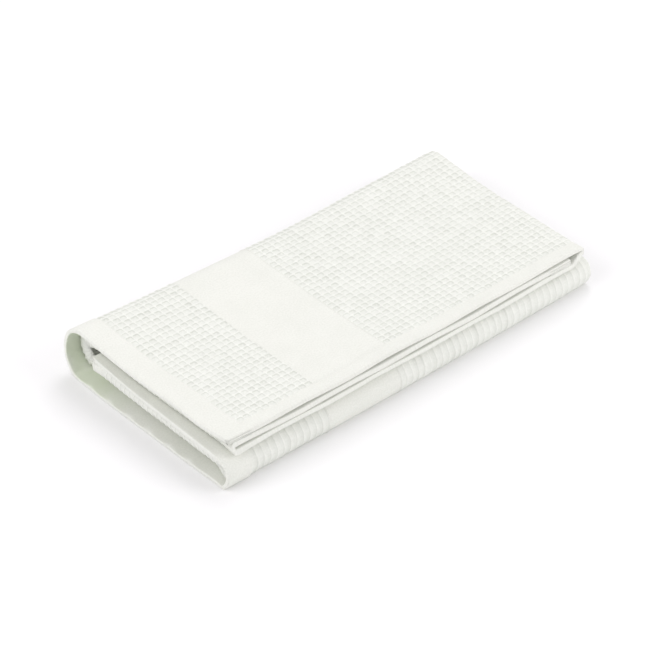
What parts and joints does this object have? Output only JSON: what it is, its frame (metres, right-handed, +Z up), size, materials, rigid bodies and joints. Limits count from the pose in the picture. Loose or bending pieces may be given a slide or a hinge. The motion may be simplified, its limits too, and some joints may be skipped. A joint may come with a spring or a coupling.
{
  "type": "waffle bath towel",
  "caption": "White waffle-weave cotton bath towel with plain hems and bands, folded flat in thirds both ways, lying with its selvedges to the front.",
  "frame": {"origin": "on the surface the folded towel lies on, under the middle of its outline", "axes": "+X along the folded pack, from the open hems to the closed fold; +Y from the loose selvedges in front to the back fold; +Z up"},
  "size_m": [0.4632, 0.2404, 0.0559],
  "materials": {
    "white_waffle_cotton": "matt white cotton, waffle weave with plain hems, selvedges and bands"
  },
  "bodies": {
    "root": {"towel": "white_waffle_cotton"}
  },
  "joints": []
}
